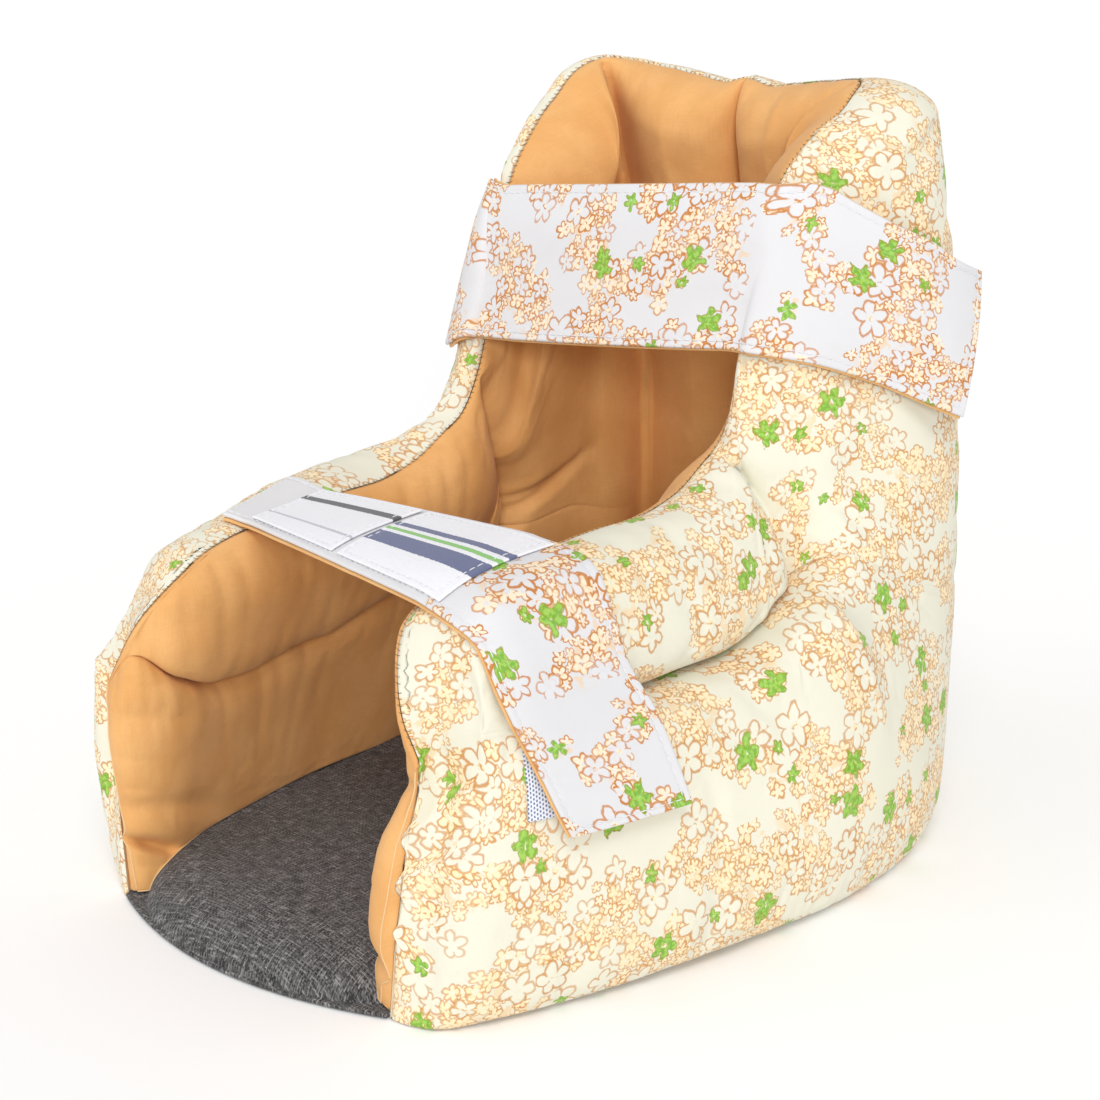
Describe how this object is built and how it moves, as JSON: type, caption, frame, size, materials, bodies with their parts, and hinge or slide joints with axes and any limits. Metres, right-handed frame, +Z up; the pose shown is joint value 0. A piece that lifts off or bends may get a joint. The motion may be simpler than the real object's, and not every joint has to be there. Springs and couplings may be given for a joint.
{
  "type": "heel cushion",
  "caption": "Padded boot-shaped heel cushion with open toe and open leg top, closed over the instep and the shin by two flat hook-and-loop straps.",
  "frame": {"origin": "on the floor under the middle of the part's bounding box", "axes": "+Z up towards the leg opening, -Y towards the open toe, +X towards the side on which the straps close"},
  "size_m": [0.259, 0.3182, 0.2768],
  "materials": {
    "print": "padded cotton with a small flower print",
    "lining": "padded caramel cotton",
    "sole": "charcoal woven cloth with lighter slubs",
    "strap": "white cotton with a small flower print",
    "facing": "caramel cotton",
    "label": "white woven satin",
    "hook": "white hook tape with small blue dots"
  },
  "bodies": {
    "root": {"shell_near": "print", "lining_near": "lining", "shell_far": "print", "lining_far": "lining", "foot_bed": "sole", "upper_strap_facing": "facing", "upper_strap": "strap", "lower_strap_facing": "facing", "lower_strap": "strap", "label_far": "label", "label_near": "label", "lower_hook_tape": "hook"}
  },
  "joints": []
}
